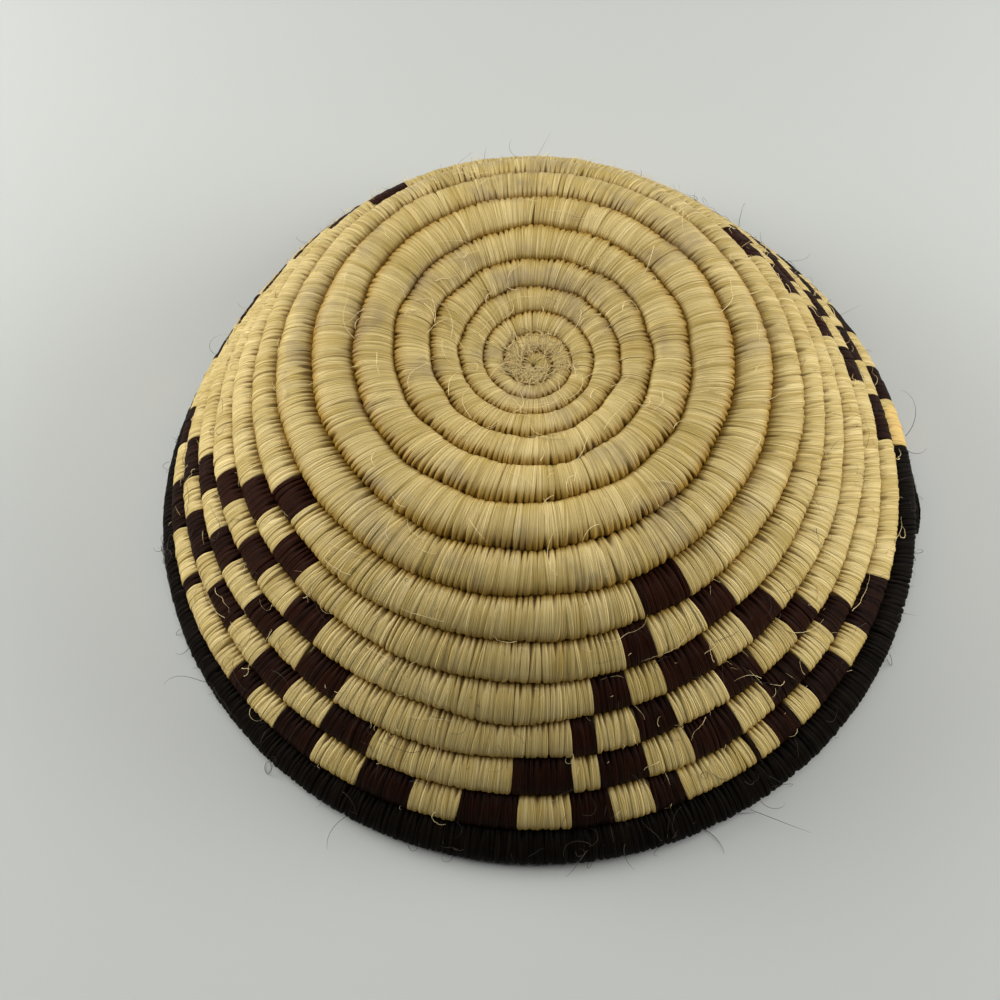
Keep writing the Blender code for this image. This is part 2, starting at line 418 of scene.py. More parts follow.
@dataclass
class Strands:
    """The raffia strands that wrap the coil, laid side by side from its start to its end.

    A strand's lean is how far it goes along the coil for its way outwards across it, and slant is
    each strand's own. lean_bends are parts of the turn where the strands lean more: a turn's
    fraction, a spread and a lean. edge has each strand's first side along the coil, and the last
    one's other side. The other arrays have a value for each strand, except valley and gash, which
    have one for each edge. A tint is drawn for each strand and for each run of drift_run strands.
    """

    path: CoilPath
    pattern: Pattern
    seams: tuple[float, ...]
    narrow_pitch: float = 0.0014
    pitch: float = 0.0019
    pitch_turns: tuple[float, float] = (0.5, 4.0)
    unevenness: float = 0.12
    lift_spread: float = 0.00009
    lean: float = 0.06
    lean_spread: float = 0.045
    lean_bends: tuple[tuple[float, float, float], ...] = (
        (0.755, 0.055, -0.55),
        (0.860, 0.080, -0.20),
        (0.120, 0.080, 0.17),
    )
    lean_start: float = 3.0
    lean_rise: float = 3.0
    ageing: float = 0.8
    ageing_start: float = 7.0
    ageing_span: float = 5.5
    drift_run: int = 5
    drift_tint: float = 0.11
    strand_tint: float = 0.13
    gash_range: tuple[float, float] = (0.4, 1.0)
    gash_share: float = 0.07
    valley_shape: float = 7.0
    valley_scale: float = 0.115
    valley_range: tuple[float, float] = (0.3, 1.3)
    seed: int = 7
    edge: np.ndarray = field(init=False)
    dark: np.ndarray = field(init=False)
    tint: np.ndarray = field(init=False)
    lift: np.ndarray = field(init=False)
    slant: np.ndarray = field(init=False)
    valley: np.ndarray = field(init=False)
    gash: np.ndarray = field(init=False)

    def __post_init__(self) -> None:
        """Lays the strands between the places where the fibre or the piece changes."""
        chance = np.random.default_rng(self.seed)
        changes = self.pattern.changes(self.path)
        ends = self.path.along(np.array([self.path.first_turn, *self.seams, self.path.last_turn]))
        stops = np.unique(np.concatenate((ends, changes.ravel())))
        stops = stops[(stops >= ends[0]) & (stops <= ends[-1])]
        stops = stops[np.append(True, np.diff(stops) > self.narrow_pitch / 3.0)]
        edges = [stops[:1]]
        low, high = self.pitch_turns
        for start, end in zip(stops[:-1], stops[1:]):
            grown = eased((self.path.turn_at(start) - low) / (high - low))
            pitch = self.narrow_pitch + (self.pitch - self.narrow_pitch) * grown
            count = max(1, int(round((end - start) / float(pitch))))
            widths = np.exp(chance.normal(0.0, self.unevenness, count))
            edges.append(start + np.cumsum(widths) / widths.sum() * (end - start))
        self.edge = np.concatenate(edges)
        middle = (self.edge[:-1] + self.edge[1:]) / 2.0
        inside = (middle[:, None] > changes[:, 0]) & (middle[:, None] < changes[:, 1])
        self.dark = inside.any(axis=1)
        count = len(middle)
        runs = chance.normal(0.0, 1.0, count // self.drift_run + 2)
        drift = np.repeat(runs, self.drift_run)[:count]
        turns = self.path.turn_at(middle)
        aged = eased((turns - self.ageing_start) / self.ageing_span) - 0.5
        tint = 0.5 + self.ageing * np.where(self.dark, aged, 0.0) + self.drift_tint * drift
        tint = tint + self.strand_tint * chance.normal(0.0, 1.0, count)
        self.tint = np.clip(tint, 0.0, 1.0)
        self.lift = chance.normal(0.0, self.lift_spread, count)
        self.slant = self.lean + chance.normal(0.0, self.lean_spread, count)
        grown = eased((turns - self.lean_start) / self.lean_rise)
        for place, spread, lean in self.lean_bends:
            off = np.mod(turns - place + 0.5, 1.0) - 0.5
            self.slant = self.slant + lean * np.exp(-((off / spread) ** 2)) * grown
        gash = chance.uniform(*self.gash_range, count + 1)
        self.gash = gash * (chance.uniform(0.0, 1.0, count + 1) < self.gash_share)
        valley = chance.gamma(self.valley_shape, self.valley_scale, count + 1)
        self.valley = np.clip(valley, *self.valley_range)


@dataclass(frozen=True)
class TubeGrid:
    """Rings of points, an even number in each, that are joined into closed tubes.

    joined tells whether the faces from one ring to the next are made. along and around are each
    point's place on the strands. values has a number for each point, for a material to read.
    """

    points: np.ndarray
    joined: np.ndarray
    along: np.ndarray
    around: np.ndarray
    values: dict[str, np.ndarray]

    def faces(self) -> tuple[np.ndarray, np.ndarray]:
        """The tubes' faces, with a lid on each end.

        The side faces join ring to ring. A lid is a ladder of faces from one side of its ring to
        the other, so it needs no point of its own. All are turned if their volume is negative.

        Returns:
            Four point numbers for each face, and their places on the strands.
        """
        sides = self.points.shape[1]
        station = np.flatnonzero(self.joined)[:, None]
        side = np.arange(sides)[None, :]
        beside = (side + 1) % sides
        here, there = station * sides, (station + 1) * sides
        corners = np.stack((here + side, here + beside, there + beside, there + side), axis=-1)
        corners = corners.reshape(-1, 4)
        next_side = np.broadcast_to(side + 1, (len(station), sides))
        this_side = np.broadcast_to(side, (len(station), sides))
        around = np.stack((this_side, next_side, next_side, this_side), axis=-1).reshape(-1, 4)
        ring_end = 2.0 * self.around[:, -1:] - self.around[:, -2:-1]
        ring_end = np.append(self.around, ring_end, axis=1)
        flat_along, flat_around = self.along.reshape(-1), self.around.reshape(-1)
        side_map = np.stack((flat_along[corners], ring_end[corners // sides, around]), axis=-1)
        joined = np.append(self.joined, False)
        before = np.append(False, joined[:-1])
        first = np.flatnonzero(joined & ~before)[:, None] * sides
        last = np.flatnonzero(before & ~joined)[:, None] * sides
        rung = np.arange(sides // 2 - 1)[None, :]
        ladder = np.stack((rung, sides - 1 - rung, sides - 2 - rung, rung + 1), axis=-1)
        lids = np.concatenate((first[..., None] + ladder, last[..., None] + ladder[..., ::-1]))
        lids = lids.reshape(-1, 4)
        lid_map = np.stack((flat_along[lids], flat_around[lids]), axis=-1)
        faces, strand_map = np.concatenate((corners, lids)), np.concatenate((side_map, lid_map))
        corner = self.points.reshape(-1, 3)[faces]
        halves = np.concatenate((corner[:, [0, 1, 2]], corner[:, [0, 2, 3]]))
        centre = self.points.reshape(-1, 3).mean(axis=0)
        if float(np.linalg.det(halves - centre).sum()) <= 0.0:
            return faces[:, ::-1], strand_map[:, ::-1]
        return faces, strand_map

    def build(self, name: str, material: bpy.types.Material) -> bpy.types.Object:
        """Puts the tubes into the scene as one piece.

        Args:
            name: The piece's name.
            material: What it is made of.

        Returns:
            The new object.
        """
        faces, strand_map = self.faces()
        points = self.points.reshape(-1, 3)
        mesh = bpy.data.meshes.new(name)
        mesh.vertices.add(len(points))
        mesh.vertices.foreach_set("co", np.ascontiguousarray(points, np.float32).ravel())
        mesh.loops.add(faces.size)
        mesh.loops.foreach_set("vertex_index", np.ascontiguousarray(faces, np.int32).ravel())
        mesh.polygons.add(len(faces))
        mesh.polygons.foreach_set("loop_start", np.arange(0, faces.size, 4, dtype=np.int32))
        mesh.update(calc_edges=True)
        layer = mesh.uv_layers.new(name="strand_map")
        layer.data.foreach_set("uv", np.ascontiguousarray(strand_map, np.float32).ravel())
        for kind, numbers in self.values.items():
            attribute = mesh.attributes.new(kind, "FLOAT", "POINT")
            attribute.data.foreach_set("value", np.ascontiguousarray(numbers, np.float32).ravel())
        mesh.polygons.foreach_set("use_smooth", np.ones(len(faces), bool))
        mesh.materials.append(material)
        mesh.validate()
        piece = bpy.data.objects.new(name, mesh)
        bpy.context.scene.collection.objects.link(piece)
        LOG.info("%s: %d faces", name, len(faces))
        return piece


@dataclass
class RaffiaWrap:
    """Strands of raffia round the coil, between two turns.

    Each strand has stations across it, from the valley before it to the valley after. It is
    nearly flat on the coil's face. Towards a stitched edge it narrows, and its valleys deepen
    into notches.
    """

    path: CoilPath
    strands: Strands
    stations: tuple[float, ...] = (-0.5, -0.45, -0.35, -0.14, 0.14, 0.35, 0.45, 0.5)
    heights: tuple[float, ...] = (-1.0, -0.50, -0.15, 0.0, 0.0, -0.15, -0.50, -1.0)
    outside_samples: int = 17
    inside_samples: int = 11
    face_slit: float = 0.00016
    gash_depth: float = 0.00070
    notch_depth: float = 0.00110
    notch_pinch: float = 0.27
    notch_start: float = 0.36
    notch_full: float = 0.94
    notch_power: float = 1.4
    slit_shade: float = 0.25
    plain_base_edge: float = 0.16
    plain_wall_edge: float = 0.62
    stitch_change: tuple[float, float] = (4.7, 5.9)
    full_depth_width: float = 0.010
    # Where the painted shade towards the outer and the inner edge starts.
    painted_shade_start: float = 0.20
    inner_painted_shade_start: float = 0.80
    floor_clearance: float = 0.0002

    def angles(self) -> np.ndarray:
        """Angles round the section, closer together near the two edges outside.

        Half an even spread and half a sine's, over the outer face, then an even spread inside.

        Returns:
            An even number of angles, in radians.
        """
        even = np.linspace(-1.0, 1.0, self.outside_samples)
        outside = np.pi / 2.0 * (1.0 + 0.5 * even + 0.5 * np.sin(even * np.pi / 2.0))
        inside = np.linspace(np.pi, 2.0 * np.pi, self.inside_samples)[1:-1]
        return np.concatenate((outside, inside))

    def stitched(self, turn: np.ndarray, around: np.ndarray) -> np.ndarray:
        """How much each place is a stitched edge.

        An edge's share rises smoothly from 0 on the face to 1 at the edge. On the base the outer
        edge is the stitched one, and on the wall the inner edge is.

        Args:
            turn: Places along the coil.
            around: Angles round the section.

        Returns:
            Values from 0 to 1.
        """
        low, high = self.stitch_change
        wall = eased((turn - low) / (high - low))
        span = self.notch_full - self.notch_start
        outer = eased((np.cos(around) - self.notch_start) / span)
        inner = eased((-np.cos(around) - self.notch_start) / span)
        outer_share = 1.0 - (1.0 - self.plain_wall_edge) * wall
        inner_share = self.plain_base_edge + (1.0 - self.plain_base_edge) * wall
        return outer * outer_share + inner * inner_share

    def painted_edge_shade(self, around: np.ndarray) -> np.ndarray:
        """How much painted shade each place gets: 1 at the edge, 0 on the face.

        Args:
            around: Angles round the section.

        Returns:
            Values from 0 to 1.
        """
        # Painted shade: the outer edge darkens over a wide band, the inner edge only near its end.
        outer = eased((np.cos(around) - self.painted_shade_start) / (1.0 - self.painted_shade_start))
        inner = eased((-np.cos(around) - self.inner_painted_shade_start) / (1.0 - self.inner_painted_shade_start))
        return outer + inner

    def grid(self, picked: np.ndarray) -> TubeGrid:
        """The points of the picked strands.

        A point's place along the coil is its strand's middle, plus its share of the width, made
        narrower by the pinch, plus the lean times its place across the coil. Its height off the
        skin is the strand's lift less its valley's depth.

        Args:
            picked: Numbers of the strands, in order.

        Returns:
            The grid.
        """
        strands, samples = self.strands, len(self.stations)
        follows = np.append(np.diff(picked) == 1, False)
        keep = np.ones((len(picked), samples), bool)
        keep[:, -1] = ~follows
        number = np.repeat(picked, samples)[keep.ravel()]
        offset = np.tile(self.stations, len(picked))[keep.ravel()]
        height = np.tile(self.heights, len(picked))[keep.ravel()]
        is_valley = height <= -1.0
        after = (offset > 0.0).astype(int)
        before_run = np.append(True, ~follows[:-1])
        neighbour = np.where(before_run, picked, picked - 1)
        neighbour = np.repeat(neighbour, samples)[keep.ravel()]
        other = np.where(is_valley & (offset < 0.0), neighbour, number)
        lift = (strands.lift[number] + strands.lift[other]) / 2.0
        slant = (strands.slant[number] + strands.slant[other]) / 2.0
        tint = (strands.tint[number] + strands.tint[other]) / 2.0
        start, end = strands.edge[number], strands.edge[number + 1]
        middle, width = (start + end) / 2.0, end - start
        around = np.broadcast_to(self.angles()[None, :], (len(number), len(self.angles())))
        rough_turn = np.broadcast_to(self.path.turn_at(middle)[:, None], around.shape)
        stitched = self.stitched(rough_turn, around)
        valley = strands.valley[number + after][:, None]
        pinch = self.notch_pinch * stitched * np.minimum(valley, 1.0)
        pinch = np.where(is_valley[:, None], 0.0, pinch)
        along = middle[:, None] + (offset * width)[:, None] * (1.0 - pinch)
        inner, outer = self.path.edges(self.path.turn_at(middle))
        half_coil = np.linalg.norm(outer - inner, axis=-1) / 2.0
        leant = along + slant[:, None] * half_coil[:, None] * np.cos(around)
        turn = np.minimum(self.path.turn_at(leant), self.path.last_turn)
        points, facing, coil_width = self.path.skin(turn, around)
        scale = np.minimum(coil_width / self.full_depth_width, 1.0)
        gash = strands.gash[number + after][:, None]
        slit = self.face_slit + self.gash_depth * gash
        notch = np.maximum(self.notch_depth - slit, 0.0) * stitched**self.notch_power
        depth = slit + notch
        sunk = -height[:, None] * valley * depth * scale
        points = points + facing * (lift[:, None] * scale - sunk)[..., None]
        points[..., 2] = np.maximum(points[..., 2], self.floor_clearance)
        girth = np.linalg.norm(np.diff(points, axis=1), axis=-1)
        travel = np.concatenate((np.zeros((len(number), 1)), np.cumsum(girth, axis=1)), axis=1)
        # hollow is painted shade in the valleys and notches between strands: a share of it on the
        # face, all of it at a stitched edge or gash.
        share = self.slit_shade + (1.0 - self.slit_shade) * np.maximum(stitched, gash)
        values = {
            "tint": np.broadcast_to(tint[:, None], around.shape),
            "hollow": np.clip(-height[:, None] * valley * share, 0.0, 1.0),
            # edge: painted shade towards the coil's edges, which the material's edge colour is
            # multiplied by.
            "edge": self.painted_edge_shade(around),
        }
        straight = np.broadcast_to((middle + offset * width)[:, None], around.shape)
        return TubeGrid(points, offset < self.stations[-1], straight, travel, values)

    def build(
        self, name: str, turns: tuple[float, float], fibre: Fibre, material: bpy.types.Material
    ) -> bpy.types.Object:
        """Makes one piece of wrap.

        Args:
            name: The piece's name.
            turns: Where it starts and ends.
            fibre: Which strands to take.
            material: What they are made of.

        Returns:
            The new object.
        """
        start, end = self.path.along(np.array(turns))
        middle = (self.strands.edge[:-1] + self.strands.edge[1:]) / 2.0
        wanted = self.strands.dark == (fibre is Fibre.DARK)
        picked = np.flatnonzero(wanted & (middle > start) & (middle < end))
        return self.grid(picked).build(name, material)


@dataclass
class GrassBundle:
    """The bundle of grass stems inside the wraps, from the first turn to the rim's tail."""

    path: CoilPath
    turns: tuple[float, float] = (0.05, 13.5)
    inset: float = 0.0019
    station_step: float = 0.004
    sides: int = 10

    def build(self, name: str, material: bpy.types.Material) -> bpy.types.Object:
        """Makes the bundle as one long tube, inset from the coil's skin.

        Args:
            name: The piece's name.
            material: What it is made of.

        Returns:
            The new object.
        """
        start, end = self.path.along(np.array(self.turns))
        stations = np.linspace(start, end, int((end - start) / self.station_step))
        angles = np.linspace(0.0, 2.0 * np.pi, self.sides, endpoint=False)
        along, around = np.meshgrid(stations, angles, indexing="ij")
        points, _, _ = self.path.skin(self.path.turn_at(along), around, self.inset)
        joined = np.append(np.ones(len(stations) - 1, bool), False)
        return TubeGrid(points, joined, along, around * self.inset, {}).build(name, material)


@dataclass
class StrayFibres:
    """Thin fibres drawn by chance, as one piece of tapering tubes. Each kind leads its own lines.

    A tube's radius at a share of its length is the first radius, less a part that grows with the
    share's square, down to the tip's share of it. Its section is turned from a fixed odd
    direction, which no fibre runs along.
    """

    path: CoilPath
    seed: int
    count: int
    turns: tuple[float, float]
    length: tuple[float, float]
    radius: tuple[float, float]
    tip: float = 0.25
    sides: int = 4
    odd_way: Point = (0.13, 0.21, 1.0)
    floor_clearance: float = 0.0002

    def lines(self, chance: np.random.Generator) -> np.ndarray:
        """The points of each fibre's middle line."""
        raise NotImplementedError

    def build(self, name: str, material: bpy.types.Material) -> bpy.types.Object:
        """Makes all the fibres.

        Args:
            name: The piece's name.
            material: What they are made of.

        Returns:
            The new object.
        """
        chance = np.random.default_rng(self.seed)
        lines = self.lines(chance)
        tint = chance.uniform(0.0, 1.0, self.count)
        radius = chance.uniform(*self.radius, self.count)
        steps = lines.shape[1]
        share = np.linspace(0.0, 1.0, steps)
        tangent = unit(np.gradient(lines, axis=1))
        normal = unit(np.cross(tangent, np.zeros_like(tangent) + np.array(self.odd_way)))
        binormal = np.cross(tangent, normal)
        girth = radius[:, None] * (1.0 - (1.0 - self.tip) * share**2)
        angles = (np.arange(self.sides) * 2.0 * np.pi / self.sides)[:, None]
        ring = normal[:, :, None] * np.cos(angles) + binormal[:, :, None] * np.sin(angles)
        points = lines[:, :, None] + ring * girth[..., None, None]
        points[..., 2] = np.maximum(points[..., 2], self.floor_clearance)
        rings = points.reshape(-1, self.sides, 3)
        joined = np.tile(np.append(np.ones(steps - 1, bool), False), self.count)
        strides = np.linalg.norm(np.diff(lines, axis=1), axis=-1)
        run = np.append(np.zeros((self.count, 1)), np.cumsum(strides, axis=1), axis=1)
        across = np.broadcast_to(angles[:, 0] * radius.mean(), rings.shape[:2])
        along = np.repeat(run.reshape(-1, 1), self.sides, axis=1)
        values = {"tint": np.repeat(tint, steps * self.sides)}
        return TubeGrid(rings, joined, across, along, values).build(name, material)


@dataclass
class LyingFibres(StrayFibres):
    """Stray fibres that lie on the wraps, across the coils and along them.

    A fibre is led over the sheet by its heading, which starts anywhere, bends by a steady rate
    and sways by one wave. It turns back at the nearest distance from the middle. It rests on the
    crests, and rises a little between its ends.
    """

    rise: tuple[float, float] = (0.0001, 0.0012)
    bend: float = 1.2
    sway: float = 0.3
    waves: tuple[float, float] = (3.0, 9.0)
    latest_phase: float = 6.3
    arches: tuple[float, float] = (0.8, 2.4)
    bridging: float = 0.82
    clearance: float = 0.00012
    steps: int = 26
    near: tuple[float, ...] = ()
    near_spread: float = 0.07
    nearest: float = 0.004
    furthest_turn: float = 13.6
    smallest_circle: float = 0.003

    def lines(self, chance: np.random.Generator) -> np.ndarray:
        """Leads each fibre over the sheet.

        Args:
            chance: What its numbers are drawn from.

        Returns:
            The points of each fibre's middle line.
        """
        one = (self.count, 1)
        turn = chance.uniform(*self.turns, one)
        if self.near:
            middle = chance.choice(np.array(self.near), one)
            turn = np.floor(turn) + middle + chance.normal(0.0, self.near_spread, one)
            turn = np.clip(turn, *self.turns)
        start = self.path.line(turn + chance.uniform(0.0, 1.0, one))
        share = np.linspace(0.0, 1.0, self.steps)[None, :]
        length = chance.uniform(*self.length, one)
        heading = chance.uniform(0.0, 2.0 * np.pi, one)
        heading = heading + chance.normal(0.0, self.bend, one) * share
        wave = chance.uniform(*self.waves, one) * share
        wave = wave + chance.uniform(0.0, self.latest_phase, one)
        heading = heading + self.sway * chance.uniform(0.0, 1.0, one) * np.sin(wave)
        stride = length / (self.steps - 1)
        outward = start + np.cumsum(np.cos(heading) * stride, axis=1)
        radius = np.interp(start, self.path.tables["distance"], self.path.tables["radius"])
        radius = np.maximum(radius, self.smallest_circle)
        turned = np.cumsum(np.sin(heading) * stride, axis=1) / (2.0 * np.pi * radius)
        outward = self.nearest + np.abs(outward - self.nearest)
        outward = np.minimum(outward, self.path.line(np.array(self.furthest_turn)))
        points, out = self.path.resting_point(outward, turn + turned, self.bridging)
        arch = np.abs(np.sin(share * np.pi * chance.uniform(*self.arches, one)))
        lift = chance.uniform(*self.rise, one) * arch + self.clearance
        return points + out * lift[..., None]


@dataclass
class StandingHairs(StrayFibres):
    """Stray fibres that stand off the coil: each leaves the skin and curls in its own plane.

    A hair's heading turns in its plane by a steady rate and by the square of the length's share.
    The plane holds its first direction, and is tilted by chance. around is the part of the coil's
    section that they leave from, in degrees.
    """

    around: tuple[float, float] = (-30.0, 100.0)
    leaning: tuple[float, float] = (0.5, 1.4)
    curl: float = 2.6
    tightening: float = 1.6
    steps: int = 18
    root_depth: float = 0.0002
    turn_step: float = 0.002
    least_height: float = 0.0004

    def lines(self, chance: np.random.Generator) -> np.ndarray:
        """Curls each hair off the skin.

        Args:
            chance: What its numbers are drawn from.

        Returns:
            The points of each hair's middle line.
        """
        one = (self.count, 1)
        turn = chance.uniform(*self.turns, self.count)
        around = np.radians(chance.uniform(*self.around, self.count))
        start, facing, _ = self.path.skin(turn, around, self.root_depth)
        ahead, _, _ = self.path.skin(turn + self.turn_step, around)
        outward = facing * chance.uniform(*self.leaning, one)
        leaving = unit(outward + unit(ahead - start) * chance.normal(0.0, 1.0, one))
        tilt = unit(chance.normal(0.0, 1.0, (self.count, 3)))
        sideways = unit(np.cross(leaving, tilt))
        share = np.linspace(0.0, 1.0, self.steps)[None, :]
        heading = chance.normal(0.0, self.curl, one) * share
        heading = heading + chance.normal(0.0, self.tightening, one) * share**2
        low, high = self.length
        length = low + (high - low) * chance.uniform(0.0, 1.0, one) ** 2.0
        stride = length / (self.steps - 1)
        forth = np.cumsum(np.cos(heading) * stride, axis=1)[..., None]
        aside = np.cumsum(np.sin(heading) * stride, axis=1)[..., None]
        lines = start[:, None] + leaving[:, None] * forth + sideways[:, None] * aside
        lines[..., 2] = np.maximum(lines[..., 2], self.least_height)
        return lines


class ShaderSheet:
    """A material whose nodes are added one after another."""

    def __init__(self, name: str) -> None:
        """Starts a material with its Principled BSDF.

        Args:
            name: The material's name.
        """
        self.material = bpy.data.materials.new(name)
        self.material.use_nodes = True
        self.tree = self.material.node_tree
        self.shader = self.tree.nodes["Principled BSDF"]

    def node(self, kind: str, **settings: object) -> bpy.types.Node:
        """Adds a node and sets its properties.

        Args:
            kind: Blender's name for its type.
            settings: Its properties.

        Returns:
            The node.
        """
        made = self.tree.nodes.new(kind)
        for key, value in settings.items():
            setattr(made, key, value)
        return made

    def link(self, source: bpy.types.NodeSocket, target: bpy.types.NodeSocket) -> None:
        """Joins two sockets."""
        self.tree.links.new(source, target)

    def attribute(self, name: str) -> bpy.types.NodeSocket:
        """Reads a number that the mesh holds at each point."""
        return self.node("ShaderNodeAttribute", attribute_name=name).outputs["Fac"]

    def scaled(self, source: bpy.types.NodeSocket, size: Point) -> bpy.types.NodeSocket:
        """Divides coordinates by a size along each axis.

        Args:
            source: Coordinates in metres.
            size: The sizes, in metres.

        Returns:
            Coordinates counted in those sizes.
        """
        mapping = self.node("ShaderNodeMapping")
        mapping.inputs["Scale"].default_value = tuple(1.0 / length for length in size)
        self.link(source, mapping.inputs["Vector"])
        return mapping.outputs["Vector"]

    def stretched_noise(
        self, source: bpy.types.NodeSocket, grain: Point, detail: float, roughness: float
    ) -> bpy.types.NodeSocket:
        """Noise whose grain has its own size along each axis.

        Args:
            source: Where the coordinates come from.
            grain: The grain's size along each axis, in metres.
            detail: How many finer octaves.
            roughness: How strong they are.

        Returns:
            The noise, around a half.
        """
        noise = self.node("ShaderNodeTexNoise")
        noise.inputs["Scale"].default_value = 1.0
        noise.inputs["Detail"].default_value = detail
        noise.inputs["Roughness"].default_value = roughness
        self.link(self.scaled(source, grain), noise.inputs["Vector"])
        return noise.outputs["Fac"]

    def long_cells(
        self, source: bpy.types.NodeSocket, size: Point
    ) -> tuple[bpy.types.NodeSocket, bpy.types.NodeSocket]:
        """Long narrow cells, as single fibres lie side by side.

        Args:
            source: Where the coordinates come from.
            size: A cell's size along each axis, in metres.

        Returns:
            A random value for each cell, and the distance to its rim, in cells.
        """
        coordinates = self.scaled(source, size)
        kind = "ShaderNodeTexVoronoi"
        cells = self.node(kind, voronoi_dimensions="2D", feature="F1")
        rims = self.node(kind, voronoi_dimensions="2D", feature="DISTANCE_TO_EDGE")
        for texture in (cells, rims):
            texture.inputs["Scale"].default_value = 1.0
            self.link(coordinates, texture.inputs["Vector"])
        parts = self.node("ShaderNodeSeparateColor")
        self.link(cells.outputs["Color"], parts.inputs["Color"])
        return parts.outputs["Red"], rims.outputs["Distance"]

    def ranged(
        self, source: bpy.types.NodeSocket, low: float, high: float, to_low: float, to_high: float
    ) -> bpy.types.NodeSocket:
        """Moves values from one range to another, and holds them in it.

        Args:
            source: The values.
            low: A value of theirs.
            high: Another.
            to_low: What low becomes.
            to_high: What high becomes.

        Returns:
            The new values.
        """
        made = self.node("ShaderNodeMapRange")
        ends = {"From Min": low, "From Max": high, "To Min": to_low, "To Max": to_high}
        for socket, value in ends.items():
            made.inputs[socket].default_value = value
        self.link(source, made.inputs["Value"])
        return made.outputs["Result"]

    def sum(
        self, first: bpy.types.NodeSocket, second: bpy.types.NodeSocket, operation: str = "ADD"
    ) -> bpy.types.NodeSocket:
        """Adds two values, or joins them by another operation of the Math node.

        Args:
            first: One value.
            second: The other.
            operation: What is done with them.

        Returns:
            The result.
        """
        made = self.node("ShaderNodeMath", operation=operation)
        self.link(first, made.inputs[0])
        self.link(second, made.inputs[1])
        return made.outputs["Value"]

    def mixed(
        self,
        factor: bpy.types.NodeSocket,
        first: bpy.types.NodeSocket | Colour,
        second: bpy.types.NodeSocket | Colour,
        blend: str = "MIX",
    ) -> bpy.types.NodeSocket:
        """Mixes two colours, each a socket or a fixed colour.

        Args:
            factor: The second colour's share.
            first: One colour.
            second: The other.
            blend: How the second is laid over the first.

        Returns:
            The mixed colour.
        """
        made = self.node("ShaderNodeMix", data_type="RGBA", blend_type=blend)
        self.link(factor, made.inputs["Factor"])
        for name, value in (("A", first), ("B", second)):
            socket = next(s for s in made.inputs if s.name == name and s.type == "RGBA")
            if isinstance(value, tuple):
                socket.default_value = (*value, 1.0)
            else:
                self.link(value, socket)
        return next(s for s in made.outputs if s.type == "RGBA")


